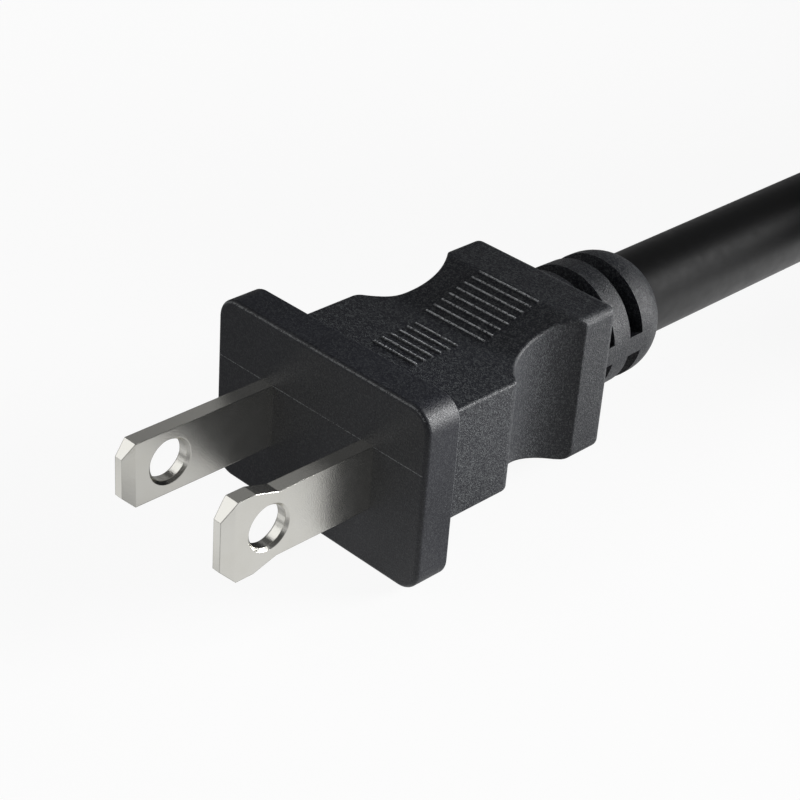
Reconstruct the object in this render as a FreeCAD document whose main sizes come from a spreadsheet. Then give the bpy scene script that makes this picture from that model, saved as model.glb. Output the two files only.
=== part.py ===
"""Two-blade polarised plug moulded on a round cord, with its cord folded into a tied hank.

X runs across the blades, the blades point along -Y, the cord leaves along +Y and Z is up.
The origin is the middle of the plug's front face.
"""
import FreeCAD, Part
import math
import os
import re

import Sketcher
from FreeCAD import Vector

# Driving dimensions in millimetres and degrees, each with what it measures
SIZES = [
    ("flange_width", 26.4, "flange across X"),
    ("flange_height", 18.3, "flange across Z"),
    ("flange_thickness", 3.8, "flange from its front face to its back"),
    ("flange_corner", 2.2, "radius of the flange's four corners"),
    ("flange_edge", 0.45, "rounding of the flange's front edge"),
    ("flange_back_edge", 0.2, "rounding of the flange's back edge"),
    ("front_width", 20.5, "low front part of the grip across X"),
    ("front_height", 11.4, "low front part of the grip across Z"),
    ("rear_width", 17.7, "rear part of the grip across X"),
    ("rear_height", 15.2, "rear part of the grip across Z"),
    ("slope_start", 16.8, "front face to the start of the slope"),
    ("slope_end", 24.1, "front face to the end of the slope"),
    ("slope_foot", 6.0, "rounding at the foot of the slope"),
    ("slope_crest", 4.0, "rounding at the top of the slope"),
    ("body_length", 29.3, "front face to the rear of the grip"),
    ("scoop_place", 20.2, "front face to the middle of the finger scoops"),
    ("scoop_radius", 6.7, "radius of the finger scoops"),
    ("scoop_waist", 13.8, "width left between the scoops"),
    ("scoop_corner", 1.3, "rounding in front of each scoop"),
    ("rear_corner", 0.9, "rounding of the grip's upright rear corners"),
    ("rear_edge", 0.85, "rounding of the rear part's top and bottom edges"),
    ("lip_edge", 0.3, "rounding of the front part's long edges and of the scoops' lips"),
    ("ridge_width", 0.36, "half-round grip ridge along Y"),
    ("ridge_height", 0.17, "grip ridge above its face"),
    ("ridge_bury", 0.15, "grip ridge's root below its face"),
    ("front_ridge_length", 5.3, "ridges of the front group across X"),
    ("front_ridge_place", 9.1, "front face to the first ridge of the front group"),
    ("front_ridge_span", 5.25, "first to last ridge of the front group"),
    ("front_ridge_count", 6, "ridges in the front group"),
    ("rear_ridge_length", 7.4, "ridges on the slope across X"),
    ("rear_ridge_lead", 0.03, "plain slope before its first ridge and after its last"),
    ("rear_ridge_count", 8, "ridges on the slope"),
    ("relief_root", 13.3, "strain relief's diameter at the grip"),
    ("relief_tip", 12.8, "strain relief's diameter at its domed end"),
    ("relief_round", 5.0, "radius of the strain relief's domed end"),
    ("relief_straight", 8.4, "strain relief from the grip to its dome"),
    ("relief_bury", 1.5, "strain relief's root inside the grip"),
    ("slot_lead", 1.6, "grip to the first slot of the strain relief"),
    ("slot_width", 1.9, "strain relief slot along Y"),
    ("slot_ring", 2.4, "ring between the two slots"),
    ("web_angle", 18, "webs left at the two sides of each slot"),
    ("blade_spacing", 12.7, "between the middles of the blades"),
    ("blade_width", 6.35, "blade across Z"),
    ("blade_thickness", 1.5, "blade across X"),
    ("blade_length", 16.6, "blade in front of the face"),
    ("line_tip_cut", 1.25, "corner cut at the line blade's tip"),
    ("neutral_tip_width", 7.85, "wide tip of the neutral blade across Z"),
    ("neutral_tip_cut", 1.5, "corner cut at the neutral blade's tip"),
    ("neutral_wide", 3.4, "wide part of the neutral blade along Y"),
    ("neutral_taper", 2.5, "from the wide part to the blade's own width"),
    ("bevel_length", 1.3, "thinned tip along Y"),
    ("bevel_end", 0.85, "thickness at the very tip"),
    ("hole_setback", 5.0, "blade's tip to the middle of its hole"),
    ("hole_diameter", 4.0, "hole in each blade"),
    ("hole_rim", 0.28, "chamfer of the hole's rims"),
    ("bridge_place", 1.6, "front face to the inner bridge"),
    ("bridge_length", 3.2, "inner bridge along Y"),
    ("bridge_width", 17.0, "inner bridge across X"),
    ("bridge_height", 8.6, "inner bridge across Z"),
    ("neck_height", 3.2, "blade's tail behind the bridge across Z"),
    ("barrel_lead", 1.2, "bridge to the crimp barrel"),
    ("barrel_length", 5.0, "crimp barrel along Y"),
    ("barrel_floor", 1.0, "closed front of the crimp barrel"),
    ("barrel_diameter", 3.8, "crimp barrel across"),
    ("conductor_diameter", 1.9, "copper strand bundle across"),
    ("core_diameter", 3.4, "insulated conductor across"),
    ("core_spread", 3.6, "between the two conductors inside the cord"),
    ("bend_lead", 3.6, "crimp barrel to the conductor's first bend"),
    ("bend_length", 6.4, "between the conductor's two bends along Y"),
    ("jacket_place", 26.0, "front face to the cut end of the cord's jacket"),
    ("cord_diameter", 8.9, "cord across"),
    ("hank_run", 118.0, "between the middles of the hank's end loops"),
    ("hank_fold", 26.7, "radius of the hank's end loops at the cord's middle"),
    ("hank_layers", 4, "turns of cord on each other in the hank"),
    ("hank_slack", 0.4, "gap between the two legs at the tie"),
    ("hank_edge", 3.0, "rounding of the hank's top and bottom edges"),
    ("tie_thickness", 0.8, "tie's ribbon"),
    ("tie_width", 5.0, "tie along Y"),
    ("lead_length", 26.0, "insulated lead at the cord's far end"),
    ("lead_tip_length", 9.0, "bare tinned end of each lead"),
    ("lead_room", 6.0, "spare room past the leads' ends"),
]

# Where the cord runs, in millimetres: straight behind the plug, then down to the floor beside it
CORD_ROUTE = [(0.0, 26.0, 0.45), (0.0, 87.5, 0.45), (-4.5, 106.5, -3.9), (-4.5, 124.0, -3.9)]
HANK_NEAR_LOOP = (22.2, 118.0)
ARC_SHARE = 0.45
CUT_REACH = 2.0

doc = FreeCAD.newDocument("blade_plug")
sheet = doc.addObject("Spreadsheet::Sheet", "Sizes")
for row, (alias, number, meaning) in enumerate(SIZES, start=1):
    sheet.set(f"A{row}", meaning)
    sheet.set(f"B{row}", str(number))
    sheet.setAlias(f"B{row}", alias)
doc.recompute()
ALIASES = {alias for alias, number, meaning in SIZES}


# Values and bindings

def value(text):
    """The number that an expression of the sheet gives."""
    result = sheet.evalExpression(text)
    return float(getattr(result, "Value", result))


def bind(thing, path, text):
    """Tie a property to an expression of the sheet's aliases."""
    words = re.sub(r"[a-z_]+", lambda m: f"Sizes.{m.group()}" if m.group() in ALIASES else m.group(), text)
    thing.setExpression(path, words)


# Sketches

def new_sketch(body, name, role, lift=None):
    sketch = body.newObject("Sketcher::SketchObject", name)
    plane = next(feature for feature in body.Origin.OriginFeatures if feature.Role == role)
    sketch.AttachmentSupport = [(plane, "")]
    sketch.MapMode = "FlatFace"
    if lift:
        bind(sketch, "AttachmentOffset.Base.z", lift)
    return sketch


def fix_point(sketch, geometry, point, across, upward):
    """Hold a sketch point at two expressions, measured from the sketch's origin."""
    for kind, text in (("DistanceX", across), ("DistanceY", upward)):
        constraint = Sketcher.Constraint(kind, -1, 1, geometry, point, value(text))
        index = sketch.addConstraint(constraint)
        bind(sketch, f"Constraints[{index}]", text)


def draw_outline(sketch, corners, arc_from=None, arc_radius=None):
    """A closed clockwise outline; the edge from corner arc_from bulges outwards with the given radius."""
    first = sketch.GeometryCount
    points = [Vector(value(across), value(upward), 0) for across, upward in corners]
    count = len(points)
    for index, start in enumerate(points):
        end = points[(index + 1) % count]
        if index == arc_from:
            half = (end - start) * 0.5
            radius = value(arc_radius)
            rise = radius - math.sqrt(radius ** 2 - half.Length ** 2)
            crown = start + half + Vector(-half.y, half.x, 0) * (rise / half.Length)
            sketch.addGeometry(Part.Arc(end, crown, start), False)
        else:
            sketch.addGeometry(Part.LineSegment(start, end), False)
    for index in range(count):
        after = (index + 1) % count
        own_end = 1 if index == arc_from else 2
        next_start = 2 if after == arc_from else 1
        meeting = Sketcher.Constraint("Coincident", first + index, own_end, first + after, next_start)
        sketch.addConstraint(meeting)
    for index, (across, upward) in enumerate(corners):
        fix_point(sketch, first + index, 2 if index == arc_from else 1, across, upward)
    if arc_from is not None:
        bulge = sketch.addConstraint(Sketcher.Constraint("Radius", first + arc_from, value(arc_radius)))
        bind(sketch, f"Constraints[{bulge}]", arc_radius)


def draw_block(sketch, left, low, right, high):
    draw_outline(sketch, [(left, low), (right, low), (right, high), (left, high)])


def draw_circle(sketch, across, upward, radius):
    centre = Vector(value(across), value(upward), 0)
    index = sketch.addGeometry(Part.Circle(centre, Vector(0, 0, 1), value(radius)), False)
    fix_point(sketch, index, 3, across, upward)
    size = sketch.addConstraint(Sketcher.Constraint("Radius", index, value(radius)))
    bind(sketch, f"Constraints[{size}]", radius)


# Features

def add_pad(body, name, sketch, length, side="One side", backwards=False):
    pad = body.newObject("PartDesign::Pad", name)
    pad.Profile = sketch
    pad.SideType = side
    pad.Reversed = backwards
    bind(pad, "Length", length)
    return pad


def add_pocket(body, name, sketch, depth, side="Symmetric", backwards=False):
    pocket = body.newObject("PartDesign::Pocket", name)
    pocket.Profile = sketch
    pocket.SideType = side
    pocket.Reversed = backwards
    bind(pocket, "Length", depth)
    return pocket


def pick_edges(feature, wanted):
    doc.recompute()
    return [f"Edge{number}" for number, edge in enumerate(feature.Shape.Edges, start=1) if wanted(edge)]


def add_fillet(body, name, base, wanted, radius):
    fillet = body.newObject("PartDesign::Fillet", name)
    fillet.Base = (base, pick_edges(base, wanted))
    bind(fillet, "Radius", radius)
    return fillet


def same(first, second):
    return abs(first - second) < 0.01


def is_upright(edge):
    """True for a straight edge along Z."""
    box = edge.BoundBox
    return box.XLength < 0.01 and box.YLength < 0.01


def is_along_cord(edge):
    """True for a straight edge along Y."""
    box = edge.BoundBox
    return box.XLength < 0.01 and box.ZLength < 0.01


def is_across(edge):
    """True for a straight edge along X."""
    box = edge.BoundBox
    return box.YLength < 0.01 and box.ZLength < 0.01


# The moulded body: the flange, then the grip with its strain relief, joined into one piece

def make_flange():
    body = doc.addObject("PartDesign::Body", "flange_moulding")
    sketch = new_sketch(body, "flange_outline", "XZ_Plane")
    draw_block(sketch, "-flange_width / 2", "-flange_height / 2", "flange_width / 2", "flange_height / 2")
    flange = add_pad(body, "flange", sketch, "flange_thickness", backwards=True)
    corners = add_fillet(body, "flange_corners", flange, is_along_cord, "flange_corner")
    front = add_fillet(body, "flange_front_edges", corners,
                       lambda edge: same(edge.BoundBox.YMax, 0), "flange_edge")
    add_fillet(body, "flange_back_edges", front,
               lambda edge: same(edge.BoundBox.YMin, value("flange_thickness")), "flange_back_edge")
    return body


def add_grip(body):
    """The grip's side view, low in front and high behind, with rounded turns at both ends of its slopes."""
    profile = new_sketch(body, "grip_profile", "YZ_Plane")
    upper = [
        ("flange_thickness / 2", "front_height / 2"), ("slope_start", "front_height / 2"),
        ("slope_end", "rear_height / 2"), ("body_length", "rear_height / 2"),
    ]
    draw_outline(profile, upper + [(along, f"-{height}") for along, height in reversed(upper)])
    block = add_pad(body, "grip_block", profile, "front_width", side="Symmetric")
    feet = add_fillet(body, "slope_feet", block, lambda edge: is_across(edge)
                      and same(edge.BoundBox.YMin, value("slope_start")), "slope_foot")
    return add_fillet(body, "slope_crests", feet, lambda edge: is_across(edge)
                      and same(edge.BoundBox.YMin, value("slope_end")), "slope_crest")


def add_scoops(body):
    """The narrower rear with its soft edges, then a round finger scoop in each side with a rounded lip."""
    flanks = new_sketch(body, "flank_plan", "XY_Plane")
    for side in ("", "-"):
        draw_block(flanks, f"{side}rear_width / 2", "scoop_place", f"{side}flange_width", "body_length * 2")
    narrow = add_pocket(body, "rear_flanks", flanks, "flange_height * 2")
    corners = add_fillet(body, "rear_corners", narrow, lambda edge: is_upright(edge)
                         and same(edge.BoundBox.YMin, value("body_length")), "rear_corner")
    add_fillet(body, "rear_edges", corners, is_rear_rim, "rear_edge")

    circles = new_sketch(body, "scoop_plan", "XY_Plane")
    for side in ("", "-"):
        draw_circle(circles, f"{side}(scoop_waist / 2 + scoop_radius)", "scoop_place", "scoop_radius")
    scoops = add_pocket(body, "scoops", circles, "flange_height * 2")
    fronts = add_fillet(body, "scoop_corners", scoops, lambda edge: is_upright(edge)
                        and same(abs(edge.BoundBox.XMax), value("front_width / 2"))
                        and edge.BoundBox.YMin > value("flange_thickness"), "scoop_corner")
    add_fillet(body, "lip_edges", fronts, is_lip, "lip_edge")


def is_rear_rim(edge):
    """True for an edge round the top or the bottom of the grip's rear part."""
    box = edge.BoundBox
    high = min(abs(box.ZMin), abs(box.ZMax)) > value("front_height / 2")
    outer = same(abs(box.Center.x), value("rear_width / 2")) or box.YMax > value("body_length") - 0.01
    return high and box.YMin > value("scoop_place") - 0.01 and outer and not is_upright(edge)


def is_lip(edge):
    """True for a long edge of the front part or an edge where a scoop ends."""
    box = edge.BoundBox
    axis = value("scoop_waist / 2 + scoop_radius")
    place = value("scoop_place")
    ends = [edge.valueAt(at) for at in (edge.FirstParameter, edge.LastParameter)]
    reaches = [math.hypot(abs(end.x) - axis, end.y - place) for end in ends]
    on_scoop = all(same(reach, value("scoop_radius")) for reach in reaches)
    seam = is_upright(edge) and box.YMax < place
    long_edge = is_along_cord(edge) and same(abs(box.XMax), value("front_width / 2"))
    turn = box.ZLength < 0.01 and same(abs(box.ZMin), value("front_height / 2")) and box.XLength > 0.05
    front_turn = turn and box.XLength < value("scoop_corner") and box.YMax < place
    return (on_scoop and not seam) or long_edge or front_turn


def add_relief(body):
    """A turned sleeve with a domed end and two rings of slots, each with webs at its sides."""
    profile = new_sketch(body, "relief_profile", "YZ_Plane")
    dome = "body_length + relief_straight"
    core = "cord_diameter * 0.4"
    fall = f"(relief_round - relief_tip / 2 + {core})"
    tip = f"{dome} + sqrt(relief_round * relief_round - {fall} * {fall})"
    draw_outline(profile, [
        ("body_length - relief_bury", "0"), ("body_length - relief_bury", "relief_root / 2"),
        (dome, "relief_tip / 2"), (tip, core), (tip, "0"),
    ], arc_from=2, arc_radius="relief_round")
    sleeve = body.newObject("PartDesign::Revolution", "relief_sleeve")
    sleeve.Profile = profile
    sleeve.ReferenceAxis = (profile, ["H_Axis"])
    sleeve.Angle = 360

    for name, side in (("upper_slots", ""), ("lower_slots", "-")):
        slots = new_sketch(body, f"{name}_profile", "YZ_Plane")
        for index in range(2):
            start = f"body_length + slot_lead + {index} * (slot_width + slot_ring)"
            draw_block(slots, start, f"{side}{core}", f"{start} + slot_width", f"{side}relief_root")
        groove = body.newObject("PartDesign::Groove", name)
        groove.Profile = slots
        groove.ReferenceAxis = (slots, ["H_Axis"])
        groove.Midplane = True
        bind(groove, "Angle", "180 - web_angle")


def add_ridges(body):
    """Fine half-round ridges across the low front part and up the slopes, on the top and the bottom."""
    run = "(slope_end - slope_start)"
    rise = "((rear_height - front_height) / 2)"
    slope_span = f"sqrt({run} * {run} + {rise} * {rise}) - 2 * rear_ridge_lead - ridge_width"
    for side, sign in (("top", ""), ("bottom", "-")):
        front = new_sketch(body, f"{side}_front_ridge", "YZ_Plane")
        bind(front, "AttachmentOffset.Base.x", "front_ridge_place")
        bind(front, "AttachmentOffset.Base.y", f"{sign}front_height / 2")
        repeat_ridge(body, front, sign, "0", "front_ridge_length", "front_ridge_span", "front_ridge_count")
        slope = new_sketch(body, f"{side}_slope_ridge", "YZ_Plane")
        bind(slope, "AttachmentOffset.Base.x", "slope_start")
        bind(slope, "AttachmentOffset.Base.y", f"{sign}front_height / 2")
        slope.AttachmentOffset.Rotation.Axis = Vector(0, 0, 1)
        bind(slope, "AttachmentOffset.Rotation.Angle", f"{sign}atan({rise} / {run})")
        repeat_ridge(body, slope, sign, "rear_ridge_lead", "rear_ridge_length", slope_span,
                     "rear_ridge_count")


def repeat_ridge(body, sketch, sign, lead, length, span, count):
    """A half-round ridge across X, repeated along its sketch."""
    corners = [
        (lead, f"-{sign}ridge_bury"), (lead, "0"),
        (f"{lead} + ridge_width", "0"), (f"{lead} + ridge_width", f"-{sign}ridge_bury"),
    ]
    if sign:
        corners.reverse()
    bulge = "(ridge_width * ridge_width / 4 + ridge_height * ridge_height) / (2 * ridge_height)"
    draw_outline(sketch, corners, arc_from=1, arc_radius=bulge)
    ridge = add_pad(body, f"{sketch.Label}_pad", sketch, length, side="Symmetric")
    row = body.newObject("PartDesign::LinearPattern", f"{sketch.Label}_row")
    row.Originals = [ridge]
    row.Direction = (sketch, ["H_Axis"])
    row.Mode = "Extent"
    bind(row, "Length", span)
    bind(row, "Occurrences", count)
    body.Tip = row


def make_moulding():
    grip = doc.addObject("PartDesign::Body", "grip_moulding")
    add_grip(grip)
    add_scoops(grip)
    add_relief(grip)
    add_ridges(grip)
    return join("moulding", [make_flange(), grip])


# The blades with their crimp barrels

def make_blade(name, side, outline):
    body = doc.addObject("PartDesign::Body", name)
    bind(body, "Placement.Base.x", f"{side}blade_spacing / 2")
    profile = new_sketch(body, f"{name}_outline", "YZ_Plane")
    tail = "bridge_place + bridge_length"
    barrel = f"{tail} + barrel_lead"
    inner = [
        (tail, "blade_width / 2"), (tail, "neck_height / 2"),
        (f"{barrel} + barrel_floor", "neck_height / 2"), (f"{barrel} + barrel_floor", "-neck_height / 2"),
        (tail, "-neck_height / 2"), (tail, "-blade_width / 2"),
    ]
    upper = [(along, height) for along, height in outline]
    lower = [(along, f"-({height})") for along, height in reversed(outline)]
    draw_outline(profile, upper + inner + lower)
    add_pad(body, f"{name}_strip", profile, "blade_thickness", side="Symmetric")

    bevels = new_sketch(body, f"{name}_bevel_plan", "XY_Plane")
    for hand in ("", "-"):
        draw_outline(bevels, [
            (f"{hand}blade_thickness / 2", "-blade_length + bevel_length"),
            (f"{hand}bevel_end / 2", "-blade_length"),
            (f"{hand}bevel_end / 2", "-blade_length - bevel_length"),
            (f"{hand}blade_thickness", "-blade_length - bevel_length"),
            (f"{hand}blade_thickness", "-blade_length + bevel_length"),
        ])
    add_pocket(body, f"{name}_bevels", bevels, "blade_width * 2")

    hole = new_sketch(body, f"{name}_hole_outline", "YZ_Plane")
    draw_circle(hole, "hole_setback - blade_length", "0", "hole_diameter / 2")
    drilled = add_pocket(body, f"{name}_hole", hole, "blade_thickness * 2")
    rims = body.newObject("PartDesign::Chamfer", f"{name}_hole_rims")
    rims.Base = (drilled, pick_edges(drilled, lambda edge: isinstance(edge.Curve, Part.Circle)))
    bind(rims, "Size", "hole_rim")

    ring = new_sketch(body, f"{name}_barrel_outline", "XZ_Plane", f"-({barrel})")
    draw_circle(ring, "0", "0", "barrel_diameter / 2")
    add_pad(body, f"{name}_barrel", ring, "barrel_length", backwards=True)
    bore = new_sketch(body, f"{name}_bore_outline", "XZ_Plane", f"-({barrel} + barrel_length)")
    draw_circle(bore, "0", "0", "conductor_diameter / 2")
    add_pocket(body, f"{name}_bore", bore, "barrel_length - barrel_floor", side="One side", backwards=True)
    return body


def line_outline():
    """Upper half of the straight blade, from its tip to the face."""
    return [
        ("-blade_length", "blade_width / 2 - line_tip_cut"),
        ("-blade_length + line_tip_cut", "blade_width / 2"),
    ]


def neutral_outline():
    """Upper half of the polarised blade, which widens towards its tip."""
    return [
        ("-blade_length", "neutral_tip_width / 2 - neutral_tip_cut"),
        ("-blade_length + neutral_tip_cut", "neutral_tip_width / 2"),
        ("-blade_length + neutral_wide", "neutral_tip_width / 2"),
        ("-blade_length + neutral_wide + neutral_taper", "blade_width / 2"),
    ]


def join(name, shapes):
    room = doc.addObject("Part::MultiFuse", name)
    room.Shapes = shapes
    return room


def cut_away(name, base, tool):
    """The base with the room of the tool taken out of it."""
    piece = doc.addObject("Part::Cut", name)
    piece.Base = base
    piece.Tool = tool
    return piece


def make_bridge(blades):
    """The inner block that holds the blades apart."""
    block = doc.addObject("Part::Box", "bridge_block")
    bind(block, "Length", "bridge_width")
    bind(block, "Width", "bridge_length")
    bind(block, "Height", "bridge_height")
    bind(block, "Placement.Base.x", "-bridge_width / 2")
    bind(block, "Placement.Base.y", "bridge_place")
    bind(block, "Placement.Base.z", "-bridge_height / 2")
    return cut_away("blade_bridge", block, join("blade_room", blades))


# Wires and cord

def add_shape(name, shape):
    piece = doc.addObject("Part::Feature", name)
    piece.Shape = shape
    return piece


def smooth_path(points):
    """Straight runs joined by the largest tangent arcs that they allow, with the arcs' radii."""
    corners = [Vector(*point) for point in points]
    edges = []
    radii = []
    start = corners[0]
    for before, corner, after in zip(corners, corners[1:], corners[2:]):
        back = before - corner
        onward = after - corner
        half_turn = (math.pi - back.getAngle(onward)) / 2
        trim = ARC_SHARE * min(back.Length, onward.Length)
        radius = trim / math.tan(half_turn)
        back.normalize()
        onward.normalize()
        inward = (back + onward).normalize()
        first = corner + back * trim
        middle = corner + inward * (radius / math.cos(half_turn) - radius)
        last = corner + onward * trim
        edges.append(Part.LineSegment(start, first).toShape())
        edges.append(Part.Arc(first, middle, last).toShape())
        radii.append(radius)
        start = last
    edges.append(Part.LineSegment(start, corners[-1]).toShape())
    return Part.Wire(edges), radii


def round_bar(name, path, diameter):
    """A round bar along a path, with its volume compared with its section times its length."""
    start = path.Edges[0]
    centre = start.valueAt(start.FirstParameter)
    ring = Part.makeCircle(diameter / 2, centre, start.tangentAt(start.FirstParameter))
    bar = path.makePipeShell([Part.Wire(ring)], True, False)
    expected = math.pi * diameter ** 2 / 4 * path.Length
    print(f"{name}: {path.Length:.1f} mm long, volume {bar.Volume:.1f} of {expected:.1f} mm3")
    if abs(bar.Volume / expected - 1) > 0.01:
        raise RuntimeError(f"{name} doesn't have the volume of a bar of its length")
    return bar


def make_wire(name, side):
    """One conductor from its crimp barrel to the cord's jacket, bare copper and its insulation."""
    barrel = value("bridge_place + bridge_length + barrel_lead")
    barrel_end = barrel + value("barrel_length")
    bend = barrel_end + value("bend_lead")
    outer = side * value("blade_spacing / 2")
    inner = side * value("core_spread / 2")
    path, radii = smooth_path([
        (outer, barrel + value("barrel_floor"), 0), (outer, bend, 0),
        (inner, bend + value("bend_length"), 0), (inner, value("jacket_place"), 0),
    ])
    copper = round_bar(f"{name} copper", path, value("conductor_diameter"))
    sleeve = round_bar(f"{name} insulation", path, value("core_diameter"))
    width = value("core_diameter") * 2
    bare = Part.makeBox(width, barrel_end, width, Vector(outer - width / 2, 0, -width / 2))
    return [
        add_shape(f"{name}_conductor", copper),
        add_shape(f"{name}_insulation", sleeve.cut(bare).cut(copper)),
    ]


def hank_facts():
    """The hank's loops, waist and floor, worked out from the cord's size."""
    cord = value("cord_diameter")
    half_run = value("hank_run") / 2
    loop = value("hank_fold") + cord / 2
    waist = cord + value("hank_slack") / 2
    hollow = (half_run ** 2 + waist ** 2 - loop ** 2) / (2 * (loop - waist))
    return {
        "loop": loop, "waist": waist, "hollow": hollow, "half_run": half_run,
        "middle": Vector(HANK_NEAR_LOOP[0], HANK_NEAR_LOOP[1] + half_run, 0),
        "floor": -value("flange_height") / 2 + value("tie_thickness"),
        "tangent": math.atan2(half_run, hollow + waist),
    }


def make_hank():
    """The folded cord's outer shape: two round end loops drawn in to a waist, open on top for the leads."""
    facts = hank_facts()
    cord = value("cord_diameter")
    height = value("hank_layers") * cord
    reach = Vector(math.cos(facts["tangent"]), math.sin(facts["tangent"]), 0) * facts["loop"]

    def at(across, along):
        return facts["middle"] + Vector(across, along, facts["floor"])

    far = facts["half_run"]
    right_far = at(reach.x, far - reach.y)
    left_far = at(-reach.x, far - reach.y)
    left_near = at(-reach.x, reach.y - far)
    right_near = at(reach.x, reach.y - far)
    arcs = [
        Part.Arc(right_far, at(0, far + facts["loop"]), left_far),
        Part.Arc(left_far, at(-facts["waist"], 0), left_near),
        Part.Arc(left_near, at(0, -far - facts["loop"]), right_near),
        Part.Arc(right_near, at(facts["waist"], 0), right_far),
    ]
    outline = Part.Wire([arc.toShape() for arc in arcs])
    block = Part.Face(outline).extrude(Vector(0, 0, height))
    rims = [edge for edge in block.Edges if edge.BoundBox.ZLength < 0.01]
    block = block.makeFillet(value("hank_edge"), rims)
    return add_shape("cord_hank", block.cut(lead_room(facts, height)))


def lead_lane(facts, height):
    """Middle of the near loop at the foot of the top layer, where the leads lie."""
    return facts["middle"] + Vector(0, -facts["half_run"], facts["floor"] + height - value("cord_diameter"))


def lead_turn(length):
    """The angle in degrees that a length of cord takes up on an end loop."""
    return math.degrees(length / value("hank_fold"))


def lead_room(facts, height):
    centre = lead_lane(facts, height)
    turn = lead_turn(value("lead_length + lead_tip_length + lead_room"))
    start = math.degrees(facts["tangent"])
    tall = value("cord_diameter") + CUT_REACH
    inside = Part.makeCylinder(facts["loop"] - value("cord_diameter"), tall, centre, Vector(0, 0, 1), turn)
    outside = Part.makeCylinder(facts["loop"] + CUT_REACH, tall, centre, Vector(0, 0, 1), turn)
    sector = outside.cut(inside)
    sector.rotate(centre, Vector(0, 0, 1), start - turn)
    return sector


def make_leads():
    """The two stripped conductors at the cord's far end, lying in the top lane of the near loop."""
    facts = hank_facts()
    height = value("hank_layers") * value("cord_diameter")
    centre = lead_lane(facts, height) + Vector(0, 0, value("core_diameter") / 2)
    start = math.degrees(facts["tangent"])
    insulated = lead_turn(value("lead_length"))
    bare = lead_turn(value("lead_tip_length"))
    leads = []
    for name, side in (("line", -1), ("neutral", 1)):
        radius = value("hank_fold") + side * value("core_spread") / 2
        copper = curved_bar(centre, radius, value("conductor_diameter"), start - insulated - bare,
                            insulated + bare)
        sleeve = curved_bar(centre, radius, value("core_diameter"), start - insulated, insulated)
        leads.append(add_shape(f"{name}_lead_insulation", sleeve.cut(copper)))
        leads.append(add_shape(f"{name}_lead_conductor", copper))
    return leads


def curved_bar(centre, radius, diameter, start, turn):
    """A round bar bent about an upright axis, from a start angle through a turn, in degrees."""
    section = Part.makeCircle(diameter / 2, centre + Vector(radius, 0, 0), Vector(0, 1, 0))
    bar = Part.Face(Part.Wire(section)).revolve(centre, Vector(0, 0, 1), turn)
    bar.rotate(centre, Vector(0, 0, 1), start)
    return bar


def make_tie(hank):
    """A ribbon drawn tight round the hank's waist."""
    facts = hank_facts()
    middle = facts["middle"]
    band = doc.addObject("Part::Box", "tie_band")
    bind(band, "Length", "2 * cord_diameter + hank_slack + 2 * tie_thickness")
    bind(band, "Width", "tie_width")
    bind(band, "Height", "hank_layers * cord_diameter + 2 * tie_thickness")
    bind(band, "Placement.Base.x", f"{middle.x} - cord_diameter - hank_slack / 2 - tie_thickness")
    bind(band, "Placement.Base.y", f"{HANK_NEAR_LOOP[1]} + hank_run / 2 - tie_width / 2")
    bind(band, "Placement.Base.z", "-flange_height / 2")
    return cut_away("hank_tie", band, hank)


def make_cord(hank):
    path, radii = smooth_path(CORD_ROUTE)
    print("cord bends:", ", ".join(f"{radius:.0f} mm" for radius in radii))
    bar = round_bar("cord", path, value("cord_diameter"))
    outside = bar.cut(hank.Shape).Solids
    return add_shape("cord", min(outside, key=lambda solid: solid.BoundBox.YMin))


# Assembly and files

def check_document():
    """Stop if a feature failed, a cut removed nothing or a shape is broken."""
    for thing in doc.Objects:
        if {"Invalid", "Error"} & set(thing.State):
            raise RuntimeError(f"{thing.Label} failed: {thing.State}")
        if thing.TypeId in ("PartDesign::Pocket", "PartDesign::Groove"):
            if thing.Shape.Volume > thing.BaseFeature.Shape.Volume - 0.01:
                raise RuntimeError(f"{thing.Label} cuts nothing")


def write_pieces(pieces):
    os.makedirs("parts", exist_ok=True)
    for piece in pieces:
        shape = piece.Shape
        if shape.isNull() or not shape.isValid() or shape.Volume <= 0:
            raise RuntimeError(f"{piece.Label} has no valid solid")
        print(f"{piece.Label}: {len(shape.Solids)} solid, {shape.Volume:.1f} mm3")
        shape.exportStep(f"parts/{piece.Label}.step")


moulding = make_moulding()
line_blade = make_blade("line_blade", "-", line_outline())
neutral_blade = make_blade("neutral_blade", "", neutral_outline())
blades = [line_blade, neutral_blade]
bridge = make_bridge(blades)
wires = make_wire("line", -1) + make_wire("neutral", 1)
hank = make_hank()
cord = make_cord(hank)
tie = make_tie(hank)
leads = make_leads()
inner_room = join("inner_room", [bridge, *blades, *wires, cord])
plug_body = cut_away("plug_body", moulding, inner_room)
doc.recompute()
check_document()
write_pieces([plug_body, bridge, *blades, *wires, cord, hank, tie, *leads])
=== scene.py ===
"""Moulded two-blade mains plug: its finishes, its cord and the studio round it."""

import math

import bmesh
import bpy
from bpy.props import FloatProperty, IntProperty, PointerProperty, StringProperty
from bpy.types import Operator, Panel, PropertyGroup
from mathutils import Matrix, Vector


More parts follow.
